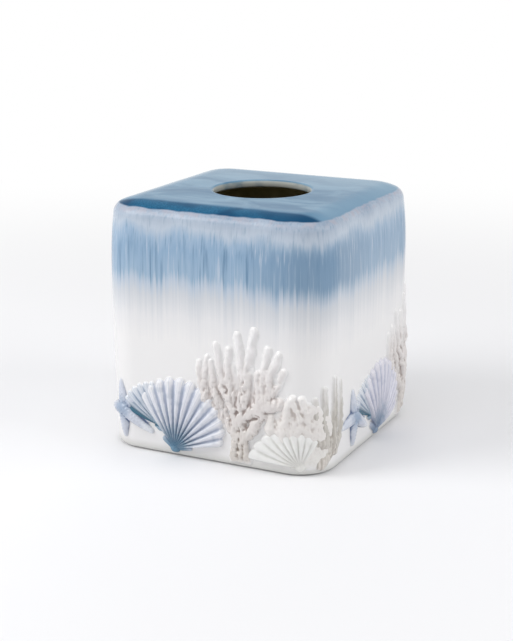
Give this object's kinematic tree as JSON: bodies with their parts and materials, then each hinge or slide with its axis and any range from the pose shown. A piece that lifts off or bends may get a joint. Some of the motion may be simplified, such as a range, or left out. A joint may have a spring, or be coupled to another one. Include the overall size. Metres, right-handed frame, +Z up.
{
  "type": "tissue box cover",
  "caption": "Square ceramic tissue box cover with rounded edges, open below, a round pull-out opening on top, a streaked drip glaze and a low relief of shells, starfish and coral.",
  "frame": {"origin": "bottom centre: on the surface it stands on, in the middle of the cover", "axes": "+Z up through the middle of the opening, front wall towards -Y, +X to the viewer's right"},
  "size_m": [0.1521, 0.1528, 0.1484],
  "materials": {
    "drip_glaze": "glossy white glaze under a streaked blue drip glaze that runs down from the shoulder",
    "scallop_relief": "glossy white with blue and violet-grey wash in the grooves",
    "blue_relief": "glossy pale blue wash",
    "white_relief": "glossy white with grey in the grooves",
    "coral_relief": "glossy white tips over a warm grey-brown wash in the pits",
    "pad": "matt translucent rubber"
  },
  "bodies": {
    "root": {"cover_shell": "drip_glaze", "front_left_pad": "pad", "front_right_pad": "pad", "back_left_pad": "pad", "back_right_pad": "pad", "front_starfish": "blue_relief", "front_scallop": "scallop_relief", "front_under_scallop": "blue_relief", "front_tall_coral": "coral_relief", "front_white_scallop": "white_relief", "front_low_coral": "coral_relief", "front_tube_coral": "coral_relief", "right_starfish": "blue_relief", "right_scallop": "scallop_relief", "right_under_scallop": "blue_relief", "right_tall_coral": "coral_relief", "right_white_scallop": "white_relief", "right_low_coral": "coral_relief", "right_tube_coral": "coral_relief", "back_starfish": "blue_relief", "back_scallop": "scallop_relief", "back_under_scallop": "blue_relief", "back_tall_coral": "coral_relief", "back_white_scallop": "white_relief", "back_low_coral": "coral_relief", "back_tube_coral": "coral_relief"}
  },
  "joints": []
}
